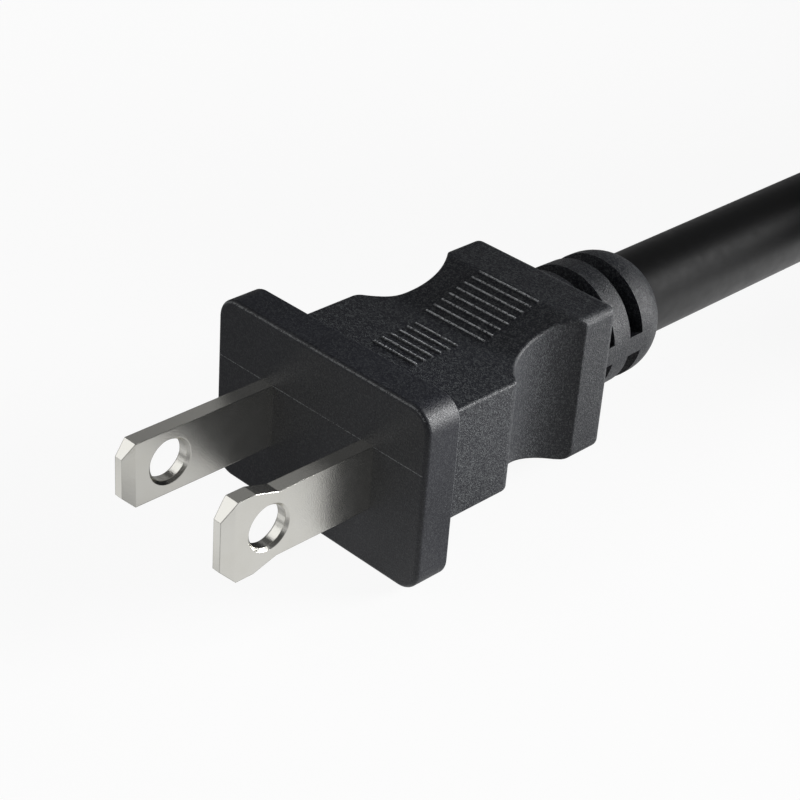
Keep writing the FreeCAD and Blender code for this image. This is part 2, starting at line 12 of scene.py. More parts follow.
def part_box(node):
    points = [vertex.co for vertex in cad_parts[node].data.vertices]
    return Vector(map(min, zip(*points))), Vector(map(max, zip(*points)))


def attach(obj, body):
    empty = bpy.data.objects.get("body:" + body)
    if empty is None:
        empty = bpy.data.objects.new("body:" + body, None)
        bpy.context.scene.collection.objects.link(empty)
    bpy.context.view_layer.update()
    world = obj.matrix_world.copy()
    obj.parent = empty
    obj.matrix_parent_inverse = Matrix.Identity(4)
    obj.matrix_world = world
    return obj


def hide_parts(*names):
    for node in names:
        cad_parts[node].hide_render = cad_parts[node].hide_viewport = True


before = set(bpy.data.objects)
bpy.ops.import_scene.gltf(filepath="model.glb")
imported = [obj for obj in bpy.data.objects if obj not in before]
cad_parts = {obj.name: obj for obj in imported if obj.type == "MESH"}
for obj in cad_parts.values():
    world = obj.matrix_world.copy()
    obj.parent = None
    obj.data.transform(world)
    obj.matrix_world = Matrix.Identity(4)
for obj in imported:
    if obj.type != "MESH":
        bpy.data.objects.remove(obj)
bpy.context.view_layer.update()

bl_info = {
    "name": "Two-blade mains plug",
    "version": (1, 0, 0),
    "blender": (4, 5, 0),
    "location": "3D View > Sidebar > Plug",
    "description": "Finishes a moulded plug, lays its cord and sets up the studio",
    "category": "Object",
}

# The cord's way out of the plug, then down to the hank, in metres
CORD_ROUTE = [
    (0.0, 0.026, 0.00045),
    (0.0, 0.046, 0.00045),
    (0.0, 0.066, 0.00045),
    (0.0, 0.079, 0.00045),
    (0.0, 0.0875, 0.00045),
    (-0.0045, 0.1065, -0.0039),
    (-0.0045, 0.124, -0.0039),
]
HANK_NEAR_LOOP = (0.0222, 0.118)
# Angles round the near loop between which a turn climbs on to the next layer
CLIMB_START = math.radians(-70)
CLIMB_END = math.radians(-170)

# Where pale highlights are painted on the moulding, partly wear, in metres
RIDGE_PROUD_START = 0.00012
RIDGE_PROUD_END = 0.00017
RIDGE_REACH = 0.0082
FRONT_EDGE_PLACE = 0.0001
FRONT_EDGE_HALF = 0.00005
FRONT_EDGE_HEIGHT = 0.0009
BACK_EDGE_HALF = 0.00006
BACK_EDGE_WIDTH = 0.0002
SEAM_HALF = 0.00005
FACE_DEPTH = 0.00002
# How pale the painted highlight lines along the flange's edges and the seam are beside the ridges
THIN_LINE_SHARE = 0.4

# The flange's grain and painted glints beside the grip's, and the length over which they change
FLANGE_GRAIN_SHARE = 0.4
GRAIN_CHANGE = 0.0002

# Width of the slow changes of shade, in metres
VINYL_CLOUD = 0.006
NICKEL_TARNISH = 0.003

# Depth of the fine reliefs, in metres
NICKEL_DEPTH = 0.00002
JACKET_DEPTH = 0.00003

# Noise mostly stays between these two values
NOISE_LOW = 0.3
NOISE_HIGH = 0.7

# Roughness of the finishes, from their glossiest to their dullest spots
VINYL_GLOSS = (0.36, 0.6)
NICKEL_GLOSS = (0.22, 0.27)
JACKET_GLOSS = (0.42, 0.5)
GLOSS_SWING = 0.07
VINYL_IOR = 1.53

WHITE = (1.0, 1.0, 1.0, 1.0)

# Paper round the plug: its sheet in metres, then its brightness where it is seen, and the painted
# light and shade that the plug mirrors in its place
SHEET_MIDDLE = 0.1
SHEET_RADIUS = 2.6
SHEET_WALL = 0.6
PAPER_SEEN = 0.92
PAPER_SHADOW = (0.12, 0.12, 0.12, 1.0)
PAPER_SHADE = (0.8, 0.8, 0.8, 1.0)
# Painted shade: how dim the plug mirrors the paper away from the painted pools
PAINTED_MIRROR_SHADE = 0.25
# Painted light: the paper that the plug mirrors grows paler far in front of it, from one distance
# to another
AHEAD_START = -0.5
AHEAD_END = -2.0
AHEAD_STRENGTH = 0.8
# Painted pools of light on the floor, which only the plug's reflections show: middle, radius that
# is full, radius where it ends, strength
PAINTED_LIGHT_POOLS = (
    ((0.06, 0.10, -0.009), 0.05, 0.11, 1.0),
    ((0.020, -0.006, -0.009), 0.010, 0.020, 0.72),
    ((0.005, -0.006, -0.009), 0.005, 0.010, 0.6),
    ((-0.010, -0.031, -0.009), 0.009, 0.022, 0.75),
)

# Soft boxes: middle and width, in metres
KEY_BOX = ((0.27, 0.43, 0.07), 0.22)
TOP_BOX = ((0.33, 0.51, 0.20), 0.36)
CORNER_BOX = ((0.065, 0.065, 0.067), 0.03)
RIM_BOX = ((-0.35, 0.39, 0.31), 0.30)
FILL_BOX = ((-0.33, -0.28, 0.34), 0.45)
PLUG_MIDDLE = (0.0, 0.015, 0.0)
FLANGE_CORNER = (0.0122, 0.0018, 0.0082)
CORNER_BEAM = math.radians(24)

SENSOR_WIDTH = 36.0
NEAREST_SEEN = 0.005


class PlugFinishes(PropertyGroup):
    vinyl_dark: StringProperty(
        name="Vinyl, dark",
        description="Darker shade of the moulding, as an sRGB hex value",
        default="#0E1018",
    )
    vinyl_light: StringProperty(
        name="Vinyl, light",
        description="Lighter shade of the moulding, as an sRGB hex value",
        default="#171923",
    )
    # The bright specks are glints painted into the moulding's colour
    vinyl_glint: StringProperty(
        name="Vinyl, speck",
        description="Shade of the bright specks between the pits, as an sRGB hex value",
        default="#4E5153",
    )
    # The pale shade on the ridges and edges is a painted highlight, partly wear
    vinyl_highlight_and_wear: StringProperty(
        name="Vinyl, rubbed",
        description="Shade of the ridges and edges that are rubbed pale, as an sRGB hex value",
        default="#C4C7CA",
    )
    vinyl_grain: FloatProperty(
        name="Vinyl grain",
        description="Width of one pit of the tool's eroded grain",
        default=0.00013,
        unit="LENGTH",
        subtype="DISTANCE",
        precision=6,
    )
    vinyl_depth: FloatProperty(
        name="Vinyl grain depth",
        description="Depth of the pits in the moulding",
        default=0.00008,
        unit="LENGTH",
        subtype="DISTANCE",
        precision=6,
    )
    nickel_bright: StringProperty(
        name="Nickel, bright",
        description="Brighter shade of the blades' plating, as an sRGB hex value",
        default="#F0EFEA",
    )
    nickel_dull: StringProperty(
        name="Nickel, dull",
        description="Duller shade of the blades' plating, as an sRGB hex value",
        default="#E2E0D8",
    )
    nickel_grain: FloatProperty(
        name="Nickel grain",
        description="Width of one grain of the blades' plating",
        default=0.00014,
        unit="LENGTH",
        subtype="DISTANCE",
        precision=6,
    )
    nickel_edge: FloatProperty(
        name="Nickel edge",
        description="Radius of the blades' edges, which the stamping leaves slightly round",
        default=0.00012,
        unit="LENGTH",
        subtype="DISTANCE",
        precision=6,
    )
    jacket_dark: StringProperty(
        name="Jacket, dark",
        description="Darker shade of the cord's jacket, as an sRGB hex value",
        default="#0A0B0D",
    )
    jacket_light: StringProperty(
        name="Jacket, light",
        description="Lighter shade of the cord's jacket, as an sRGB hex value",
        default="#131417",
    )
    jacket_ripple: FloatProperty(
        name="Jacket ripple",
        description="Width of the shallow ripples that the jacket's extrusion leaves",
        default=0.0012,
        unit="LENGTH",
        subtype="DISTANCE",
        precision=5,
    )


class PlugForms(PropertyGroup):
    front_top: FloatProperty(
        name="Front top",
        description="Height of the low front part's top above the plug's middle",
        default=0.0057,
        unit="LENGTH",
        subtype="DISTANCE",
        precision=5,
    )
    rear_top: FloatProperty(
        name="Rear top",
        description="Height of the rear part's top above the plug's middle",
        default=0.0076,
        unit="LENGTH",
        subtype="DISTANCE",
        precision=5,
    )
    slope_start: FloatProperty(
        name="Slope start",
        description="Distance from the front face to the foot of the slope",
        default=0.0168,
        unit="LENGTH",
        subtype="DISTANCE",
        precision=5,
    )
    slope_end: FloatProperty(
        name="Slope end",
        description="Distance from the front face to the top of the slope",
        default=0.0241,
        unit="LENGTH",
        subtype="DISTANCE",
        precision=5,
    )
    flange_side: FloatProperty(
        name="Flange side",
        description="Distance from the plug's middle to the flange's sides",
        default=0.0132,
        unit="LENGTH",
        subtype="DISTANCE",
        precision=5,
    )
    flange_top: FloatProperty(
        name="Flange top",
        description="Distance from the plug's middle to the flange's top and bottom",
        default=0.00915,
        unit="LENGTH",
        subtype="DISTANCE",
        precision=5,
    )
    flange_back: FloatProperty(
        name="Flange back",
        description="Distance from the front face to the flange's back",
        default=0.0038,
        unit="LENGTH",
        subtype="DISTANCE",
        precision=5,
    )
    seam_height: FloatProperty(
        name="Seam height",
        description="Height of the mould's seam on the front face above the plug's middle",
        default=0.00308,
        unit="LENGTH",
        subtype="DISTANCE",
        precision=6,
    )


class PlugCord(PropertyGroup):
    diameter: FloatProperty(
        name="Diameter",
        description="Diameter of the cord over its jacket",
        default=0.0089,
        unit="LENGTH",
        subtype="DISTANCE",
        precision=5,
    )
    length: FloatProperty(
        name="Length",
        description="Length of the jacketed cord from inside the strain relief to its far end",
        default=1.69,
        unit="LENGTH",
        subtype="DISTANCE",
    )
    hank_run: FloatProperty(
        name="Hank run",
        description="Distance between the middles of the hank's two end loops",
        default=0.118,
        unit="LENGTH",
        subtype="DISTANCE",
        precision=5,
    )
    hank_fold: FloatProperty(
        name="Hank fold",
        description="Radius of the cord's centre line round an end loop",
        default=0.0267,
        unit="LENGTH",
        subtype="DISTANCE",
        precision=5,
    )
    hank_layers: IntProperty(
        name="Hank layers",
        description="Turns of cord that lie on each other in the hank",
        default=4,
        min=2,
        max=8,
    )
    hank_slack: FloatProperty(
        name="Hank slack",
        description="Room between the hank's two runs at its waist",
        default=0.0004,
        unit="LENGTH",
        subtype="DISTANCE",
        precision=5,
    )


class PlugStage(PropertyGroup):
    azimuth: FloatProperty(
        name="Azimuth",
        description="Angle of the camera round the plug, from straight in front of its blades",
        default=math.radians(42.976),
        unit="ROTATION",
        subtype="ANGLE",
    )
    elevation: FloatProperty(
        name="Elevation",
        description="Angle of the camera above the floor",
        default=math.radians(31.214),
        unit="ROTATION",
        subtype="ANGLE",
    )
    roll: FloatProperty(
        name="Roll",
        description="Turn of the camera about its own line of sight",
        default=math.radians(4.481),
        unit="ROTATION",
        subtype="ANGLE",
    )
    distance: FloatProperty(
        name="Distance",
        description="Distance of the camera from the middle of the plug's front face",
        default=0.176479,
        unit="LENGTH",
        subtype="DISTANCE",
        precision=6,
    )
    slide_right: FloatProperty(
        name="Slide right",
        description="Distance that the camera stands to the right of that line",
        default=0.007087,
        unit="LENGTH",
        subtype="DISTANCE",
        precision=6,
    )
    slide_up: FloatProperty(
        name="Slide up",
        description="Distance that the camera stands above that line",
        default=0.0043,
        unit="LENGTH",
        subtype="DISTANCE",
        precision=6,
    )
    lens: FloatProperty(
        name="Lens",
        description="Focal length of the camera in millimetres, on a sensor 36 mm wide",
        default=91.127,
    )
    key_power: FloatProperty(
        name="Key light",
        description="Power of the low soft box behind the plug's right side",
        default=3.4,
        unit="POWER",
    )
    top_power: FloatProperty(
        name="Top light",
        description="Power of the broad soft box above the key light",
        default=0.9,
        unit="POWER",
    )
    fill_power: FloatProperty(
        name="Fill light",
        description="Power of the soft box above the blades' left side",
        default=0.65,
        unit="POWER",
    )
    corner_power: FloatProperty(
        name="Corner light",
        description="Power of the small lamp that the flange's near corner mirrors",
        default=0.002,
        unit="POWER",
    )
    rim_power: FloatProperty(
        name="Rim light",
        description="Power of the soft box behind the left side, which only the blades mirror",
        default=0.045,
        unit="POWER",
    )
    ceiling: FloatProperty(
        name="Ceiling",
        description="Strength of the even light from the room above",
        default=0.07,
        min=0.0,
        max=1.0,
    )


def piece(name):
    """The CAD piece of that name."""
    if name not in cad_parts:
        raise RuntimeError("the plug has no piece named " + name)
    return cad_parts[name]


def paint(name, material):
    """Gives a CAD piece its finish."""
    mesh = piece(name).data
    mesh.materials.clear()
    mesh.materials.append(material)


def linear(code):
    """An sRGB hex value as the linear colour that a shader takes."""
    channels = [int(code[start:start + 2], 16) / 255 for start in (1, 3, 5)]
    straight = [c / 12.92 if c <= 0.04045 else ((c + 0.055) / 1.055) ** 2.4 for c in channels]
    return (*straight, 1.0)


def add_node(tree, kind, inputs=None, **settings):
    """Adds one node: its settings, then a value or a link for each input."""
    node = tree.nodes.new(kind)
    for name, setting in settings.items():
        setattr(node, name, setting)
    for socket, source in (inputs or {}).items():
        if isinstance(source, bpy.types.NodeSocket):
            tree.links.new(source, node.inputs[socket])
        else:
            node.inputs[socket].default_value = source
    return node


def new_material(name):
    """An empty node material."""
    material = bpy.data.materials.new(name)
    material.use_nodes = True
    material.node_tree.nodes.clear()
    return material


def highlight_and_wear_places(tree, place, forms):
    """Where pale highlights are painted on the moulding, partly wear: the ridges' tops, the
    flange's edges and the seam.
    """
    axes = add_node(tree, "ShaderNodeSeparateXYZ", {0: place})
    across, along, upward = axes.outputs[0], axes.outputs[1], axes.outputs[2]
    away = add_node(tree, "ShaderNodeMath", {0: upward}, operation="ABSOLUTE")
    fall = (forms.rear_top - forms.front_top) / (forms.slope_end - forms.slope_start)
    slope = add_node(
        tree,
        "ShaderNodeMath",
        {0: along, 1: fall, 2: forms.front_top - fall * forms.slope_start},
        operation="MULTIPLY_ADD",
    )
    skin = add_node(
        tree,
        "ShaderNodeClamp",
        {"Value": slope.outputs[0], "Min": forms.front_top, "Max": forms.rear_top},
    )
    proud = add_node(
        tree, "ShaderNodeMath", {0: away.outputs[0], 1: skin.outputs[0]}, operation="SUBTRACT"
    )
    tops = add_node(
        tree,
        "ShaderNodeMapRange",
        {
            "Value": proud.outputs[0],
            "From Min": RIDGE_PROUD_START,
            "From Max": RIDGE_PROUD_END,
        },
    )
    ribbed = add_node(
        tree,
        "ShaderNodeMath",
        {0: along, 1: forms.slope_start, 2: RIDGE_REACH},
        operation="COMPARE",
    )
    ridges = add_node(
        tree, "ShaderNodeMath", {0: tops.outputs[0], 1: ribbed.outputs[0]}, operation="MULTIPLY"
    )
    edge = add_node(
        tree,
        "ShaderNodeMath",
        {0: along, 1: FRONT_EDGE_PLACE, 2: FRONT_EDGE_HALF},
        operation="COMPARE",
    )
    # Only near the flange's top and bottom, so the painted highlight lies on the front's top and
    # bottom edges
    high = add_node(
        tree,
        "ShaderNodeMath",
        {0: away.outputs[0], 1: forms.flange_top - FRONT_EDGE_HEIGHT},
        operation="GREATER_THAN",
    )
    brink = add_node(
        tree, "ShaderNodeMath", {0: edge.outputs[0], 1: high.outputs[0]}, operation="MULTIPLY"
    )
    rear = add_node(
        tree,
        "ShaderNodeMath",
        {0: along, 1: forms.flange_back - BACK_EDGE_HALF, 2: BACK_EDGE_HALF},
        operation="COMPARE",
    )
    side = add_node(tree, "ShaderNodeMath", {0: across}, operation="ABSOLUTE")
    wide = add_node(
        tree,
        "ShaderNodeMath",
        {0: side.outputs[0], 1: forms.flange_side - BACK_EDGE_WIDTH},
        operation="GREATER_THAN",
    )
    back_edge = add_node(
        tree, "ShaderNodeMath", {0: rear.outputs[0], 1: wide.outputs[0]}, operation="MULTIPLY"
    )
    edges = add_node(
        tree, "ShaderNodeMath", {0: brink.outputs[0], 1: back_edge.outputs[0]}, operation="MAXIMUM"
    )
    level = add_node(
        tree,
        "ShaderNodeMath",
        {0: upward, 1: forms.seam_height, 2: SEAM_HALF},
        operation="COMPARE",
    )
    front = add_node(tree, "ShaderNodeMath", {0: along, 1: FACE_DEPTH}, operation="LESS_THAN")
    seam = add_node(
        tree, "ShaderNodeMath", {0: level.outputs[0], 1: front.outputs[0]}, operation="MULTIPLY"
    )
    thin = add_node(
        tree, "ShaderNodeMath", {0: edges.outputs[0], 1: seam.outputs[0]}, operation="MAXIMUM"
    )
    faint = add_node(
        tree, "ShaderNodeMath", {0: thin.outputs[0], 1: THIN_LINE_SHARE}, operation="MULTIPLY"
    )
    sheen_and_wear = add_node(
        tree, "ShaderNodeMath", {0: ridges.outputs[0], 1: faint.outputs[0]}, operation="MAXIMUM"
    )
    return sheen_and_wear.outputs[0]


def moulded_vinyl(finishes, forms):
    """Soft PVC from a spark-eroded tool: matte black with pits, bright specks painted in as their
    glints, and painted highlights, partly wear, on ridges and edges.
    """
    material = new_material("moulded_vinyl")
    tree = material.node_tree
    place = add_node(tree, "ShaderNodeTexCoord").outputs["Object"]
    # The real pits are finer than a pixel, so they are drawn one and a half pixels wide
    pits = add_node(
        tree,
        "ShaderNodeTexNoise",
        {"Vector": place, "Scale": 1 / finishes.vinyl_grain, "Detail": 2.0, "Roughness": 0.6},
    )
    cells = add_node(
        tree, "ShaderNodeTexVoronoi", {"Vector": place, "Scale": 1 / finishes.vinyl_grain}
    )
    chance = add_node(tree, "ShaderNodeSeparateColor", {0: cells.outputs["Color"]})
    axes = add_node(tree, "ShaderNodeSeparateXYZ", {0: place})
    # The flange comes from a finer-eroded part of the tool than the grip, so its pits and its
    # painted glints are weaker
    coarse = add_node(
        tree,
        "ShaderNodeMapRange",
        {
            "Value": axes.outputs[1],
            "From Min": forms.flange_back - GRAIN_CHANGE,
            "From Max": forms.flange_back,
            "To Min": FLANGE_GRAIN_SHARE,
        },
    )
    cloud = add_node(
        tree,
        "ShaderNodeTexNoise",
        {"Vector": place, "Scale": 1 / VINYL_CLOUD, "Detail": 3.0, "Roughness": 0.6},
    )
    shade = add_node(
        tree,
        "ShaderNodeMix",
        {
            0: cloud.outputs[0],
            6: linear(finishes.vinyl_dark),
            7: linear(finishes.vinyl_light),
        },
        data_type="RGBA",
    )
    # A little over half of the cells turn into painted glints, specks each as bright as its own
    # chance
    specks = add_node(
        tree,
        "ShaderNodeMapRange",
        {"Value": chance.outputs[0], "From Min": 0.45, "From Max": 1.0},
    )
    bright = add_node(
        tree, "ShaderNodeMath", {0: specks.outputs[0], 1: coarse.outputs[0]}, operation="MULTIPLY"
    )
    grained_with_glints = add_node(
        tree,
        "ShaderNodeMix",
        {0: bright.outputs[0], 6: shade.outputs[2], 7: linear(finishes.vinyl_glint)},
        data_type="RGBA",
    )
    # The painted highlights and wear are patchy: some cells keep the moulding's own shade
    patchy = add_node(
        tree,
        "ShaderNodeMapRange",
        {"Value": chance.outputs[1], "From Min": 0.1, "From Max": 0.7},
    )
    sheen_and_wear = add_node(
        tree,
        "ShaderNodeMath",
        {0: highlight_and_wear_places(tree, place, forms), 1: patchy.outputs[0]},
        operation="MULTIPLY",
    )
    # Painted highlights, partly wear, laid over the grain
    highlit_and_worn = add_node(
        tree,
        "ShaderNodeMix",
        {0: sheen_and_wear.outputs[0], 6: grained_with_glints.outputs[2], 7: linear(finishes.vinyl_highlight_and_wear)},
        data_type="RGBA",
    )
    gloss = add_node(
        tree,
        "ShaderNodeMapRange",
        {
            "Value": pits.outputs[0],
            "From Min": NOISE_LOW,
            "From Max": NOISE_HIGH,
            "To Min": VINYL_GLOSS[0],
            "To Max": VINYL_GLOSS[1],
        },
    )
    relief = add_node(
        tree, "ShaderNodeMath", {0: pits.outputs[0], 1: coarse.outputs[0]}, operation="MULTIPLY"
    )
    bump = add_node(
        tree,
        "ShaderNodeBump",
        {"Height": relief.outputs[0], "Strength": 0.9, "Distance": finishes.vinyl_depth},
    )
    surface = add_node(
        tree,
        "ShaderNodeBsdfPrincipled",
        {
            "Base Color": highlit_and_worn.outputs[2],
            "Roughness": gloss.outputs[0],
            "Normal": bump.outputs[0],
            "IOR": VINYL_IOR,
            "Specular IOR Level": 0.5,
        },
    )
    add_node(tree, "ShaderNodeOutputMaterial", {"Surface": surface.outputs[0]})
    return material


def plated_nickel(finishes):
    """Nickel over stamped brass: a satin mirror with a fine grain and slightly round edges."""
    material = new_material("plated_nickel")
    tree = material.node_tree
    place = add_node(tree, "ShaderNodeTexCoord").outputs["Object"]
    grain = add_node(
        tree,
        "ShaderNodeTexNoise",
        {"Vector": place, "Scale": 1 / finishes.nickel_grain, "Detail": 2.0, "Roughness": 0.55},
    )
    tarnish = add_node(
        tree,
        "ShaderNodeTexNoise",
        {"Vector": place, "Scale": 1 / NICKEL_TARNISH, "Detail": 4.0, "Roughness": 0.6},
    )
    shade = add_node(
        tree,
        "ShaderNodeMix",
        {
            0: tarnish.outputs[0],
            6: linear(finishes.nickel_dull),
            7: linear(finishes.nickel_bright),
        },
        data_type="RGBA",
    )
    gloss = add_node(
        tree,
        "ShaderNodeMapRange",
        {
            "Value": tarnish.outputs[0],
            "From Min": NOISE_LOW,
            "From Max": NOISE_HIGH,
            "To Min": NICKEL_GLOSS[0],
            "To Max": NICKEL_GLOSS[1],
        },
    )
    edges = add_node(tree, "ShaderNodeBevel", {"Radius": finishes.nickel_edge}, samples=6)
    bump = add_node(
        tree,
        "ShaderNodeBump",
        {
            "Height": grain.outputs[0],
            "Strength": 0.5,
            "Distance": NICKEL_DEPTH,
            "Normal": edges.outputs[0],
        },
    )
    surface = add_node(
        tree,
        "ShaderNodeBsdfPrincipled",
        {
            "Base Color": shade.outputs[2],
            "Roughness": gloss.outputs[0],
            "Normal": bump.outputs[0],
            "Metallic": 1.0,
        },
    )
    add_node(tree, "ShaderNodeOutputMaterial", {"Surface": surface.outputs[0]})
    return material


def extruded_jacket(finishes):
    """Extruded PVC: smoother than the moulding, with shallow ripples."""
    material = new_material("extruded_jacket")
    tree = material.node_tree
    place = add_node(tree, "ShaderNodeTexCoord").outputs["Object"]
    ripple = add_node(
        tree,
        "ShaderNodeTexNoise",
        {"Vector": place, "Scale": 1 / finishes.jacket_ripple, "Detail": 3.0, "Roughness": 0.5},
    )
    shade = add_node(
        tree,
        "ShaderNodeMix",
        {
            0: ripple.outputs[0],
            6: linear(finishes.jacket_dark),
            7: linear(finishes.jacket_light),
        },
        data_type="RGBA",
    )
    gloss = add_node(
        tree,
        "ShaderNodeMapRange",
        {
            "Value": ripple.outputs[0],
            "From Min": NOISE_LOW,
            "From Max": NOISE_HIGH,
            "To Min": JACKET_GLOSS[0],
            "To Max": JACKET_GLOSS[1],
        },
    )
    bump = add_node(
        tree,
        "ShaderNodeBump",
        {"Height": ripple.outputs[0], "Strength": 0.3, "Distance": JACKET_DEPTH},
    )
    surface = add_node(
        tree,
        "ShaderNodeBsdfPrincipled",
        {
            "Base Color": shade.outputs[2],
            "Roughness": gloss.outputs[0],
            "Normal": bump.outputs[0],
            "IOR": VINYL_IOR,
            "Specular IOR Level": 0.65,
        },
    )
    add_node(tree, "ShaderNodeOutputMaterial", {"Surface": surface.outputs[0]})
    return material


def speckled(name, dark, light, speck, roughness, metallic=0.0):
    """A plain finish whose shade and gloss wander a little, from specks of one real size."""
    material = new_material(name)
    tree = material.node_tree
    place = add_node(tree, "ShaderNodeTexCoord").outputs["Object"]
    specks = add_node(
        tree,
        "ShaderNodeTexNoise",
        {"Vector": place, "Scale": 1 / speck, "Detail": 3.0, "Roughness": 0.55},
    )
    shade = add_node(
        tree,
        "ShaderNodeMix",
        {0: specks.outputs[0], 6: linear(dark), 7: linear(light)},
        data_type="RGBA",
    )
    gloss = add_node(
        tree,
        "ShaderNodeMapRange",
        {
            "Value": specks.outputs[0],
            "From Min": NOISE_LOW,
            "From Max": NOISE_HIGH,
            "To Min": roughness - GLOSS_SWING,
            "To Max": roughness + GLOSS_SWING,
        },
    )
    bump = add_node(
        tree,
        "ShaderNodeBump",
        {"Height": specks.outputs[0], "Strength": 0.3, "Distance": speck / 8},
    )
    surface = add_node(
        tree,
        "ShaderNodeBsdfPrincipled",
        {
            "Base Color": shade.outputs[2],
            "Roughness": gloss.outputs[0],
            "Normal": bump.outputs[0],
            "Metallic": metallic,
        },
    )
    add_node(tree, "ShaderNodeOutputMaterial", {"Surface": surface.outputs[0]})
    return material


class PLUG_OT_dress_moulding(Operator):
    """Give the moulding its grained vinyl and the block inside it a plain plastic"""

    bl_idname = "plug.dress_moulding"
    bl_label = "Dress moulding"

    def execute(self, context):
        scene = context.scene
        paint("plug_body", moulded_vinyl(scene.plug_finishes, scene.plug_forms))
        paint("blade_bridge", speckled("cream_nylon", "#CFC8B4", "#DDD6C4", 0.0012, 0.5))
        return {"FINISHED"}


class PLUG_OT_dress_blades(Operator):
    """Plate the two blades with nickel"""

    bl_idname = "plug.dress_blades"
    bl_label = "Dress blades"

    def execute(self, context):
        nickel = plated_nickel(context.scene.plug_finishes)
        paint("line_blade", nickel)
        paint("neutral_blade", nickel)
        return {"FINISHED"}


class PLUG_OT_dress_cores(Operator):
    """Give the cores and the far leads their copper and insulation, and the hank its ribbon"""

    bl_idname = "plug.dress_cores"
    bl_label = "Dress cores"

    def execute(self, context):
        copper = speckled("drawn_copper", "#A8623F", "#C98058", 0.0004, 0.35, metallic=1.0)
        black = speckled("black_core_vinyl", "#191A1C", "#242528", 0.0009, 0.42)
        white = speckled("white_core_vinyl", "#D9D8D2", "#E6E5E0", 0.0009, 0.42)
        ribbon = speckled("paper_ribbon", "#1D1E20", "#2B2C2F", 0.0005, 0.6)
        for core, insulation in (("line", black), ("neutral", white)):
            for part in (core, core + "_lead"):
                paint(part + "_conductor", copper)
                paint(part + "_insulation", insulation)
        paint("hank_tie", ribbon)
        return {"FINISHED"}


def climb(angle, bottom, rise):
    """Height of the cord in the near loop, where it climbs on to the next layer."""
    share = min(max((angle - CLIMB_START) / (CLIMB_END - CLIMB_START), 0.0), 1.0)
    return bottom + rise * share * share * (3 - 2 * share)


def ring_points(middle, radius, start, end, steps, bottom, rise=0.0):
    """Corners of the line of tangents round part of a ring, from one angle to another."""
    step = (end - start) / steps
    reach = radius / math.cos(step / 2)
    points = []
    for index in range(steps):
        angle = start + step * (index + 0.5)
        across = middle[0] + reach * math.cos(angle)
        along = middle[1] + reach * math.sin(angle)
        points.append((across, along, climb(angle, bottom, rise)))
    return points


def hank_points(cord):
    """The hank's turns, each round the near loop, up one run, round the far loop and back."""
    near = HANK_NEAR_LOOP
    far = (near[0], near[1] + cord.hank_run)
    radius = cord.diameter / 2
    waist = cord.diameter + cord.hank_slack / 2
    half_run = cord.hank_run / 2
    outer = cord.hank_fold + radius
    hollow = (half_run ** 2 + waist ** 2 - outer ** 2) / (2 * (outer - waist))
    turn = math.atan2(half_run, hollow + waist)
    middle_y = near[1] + half_run
    left = (near[0] - hollow - waist, middle_y)
    right = (near[0] + hollow + waist, middle_y)
    bend = hollow + radius
    points = []
    for layer in range(cord.hank_layers):
        height = CORD_ROUTE[-1][2] + layer * cord.diameter
        points += ring_points(near, cord.hank_fold, math.pi, math.pi - turn, 2, height)
        points += ring_points(left, bend, -turn, turn, 4, height)
        points += ring_points(far, cord.hank_fold, math.pi + turn, -turn, 9, height)
        points += ring_points(right, bend, math.pi - turn, math.pi + turn, 4, height)
        if layer < cord.hank_layers - 1:
            points += ring_points(
                near, cord.hank_fold, turn, -math.pi, 9, height, rise=cord.diameter
            )
    tail = (
        near[0] + cord.hank_fold * math.cos(turn),
        near[1] + cord.hank_fold * math.sin(turn),
        CORD_ROUTE[-1][2] + (cord.hank_layers - 1) * cord.diameter,
    )
    # The route's last point already stands where the first turn begins
    return points[1:] + [tail]


class PLUG_OT_lay_cord(Operator):
    """Lay the cord from the strain relief along the floor and wind the rest of it into its hank"""

    bl_idname = "plug.lay_cord"
    bl_label = "Lay cord"

    def execute(self, context):
        cord = context.scene.plug_cord
        points = CORD_ROUTE + hank_points(cord)
        curve = bpy.data.curves.new("cord_line", "CURVE")
        curve.dimensions = "3D"
        spline = curve.splines.new("NURBS")
        spline.points.add(len(points) - 1)
        for knot, place in zip(spline.points, points):
            knot.co = (*place, 1.0)
        spline.order_u = 3
        spline.use_endpoint_u = True
        spline.resolution_u = 8
        curve.bevel_depth = cord.diameter / 2
        curve.bevel_resolution = 14
        curve.use_fill_caps = True
        curve.materials.append(extruded_jacket(context.scene.plug_finishes))
        jacket = bpy.data.objects.new("mains_cord", curve)
        context.scene.collection.objects.link(jacket)
        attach(jacket, "root")
        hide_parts("cord", "cord_hank")
        return {"FINISHED"}


def soft_box(context, name, place, size, power, target=PLUG_MIDDLE, spread=math.pi):
    """A square soft light that shines at a target and stays out of the picture."""
    lamp = bpy.data.lights.new(name, "AREA")
    lamp.shape = "SQUARE"
    lamp.size = size
    lamp.energy = power
    lamp.spread = spread
    light = bpy.data.objects.new(name, lamp)
    context.scene.collection.objects.link(light)
    light.location = place
    light.rotation_euler = (Vector(target) - Vector(place)).to_track_quat("-Z", "Y").to_euler()
    light.visible_camera = False
    return light


def aim_at(light, pieces, state):
    """Lets a soft box reach only some pieces, or all but those."""
    group = bpy.data.collections.new(light.name + "_pieces")
    for member in pieces:
        group.objects.link(member)
    light.light_linking.receiver_collection = group
    for entry in group.collection_objects:
        entry.light_linking.link_state = state


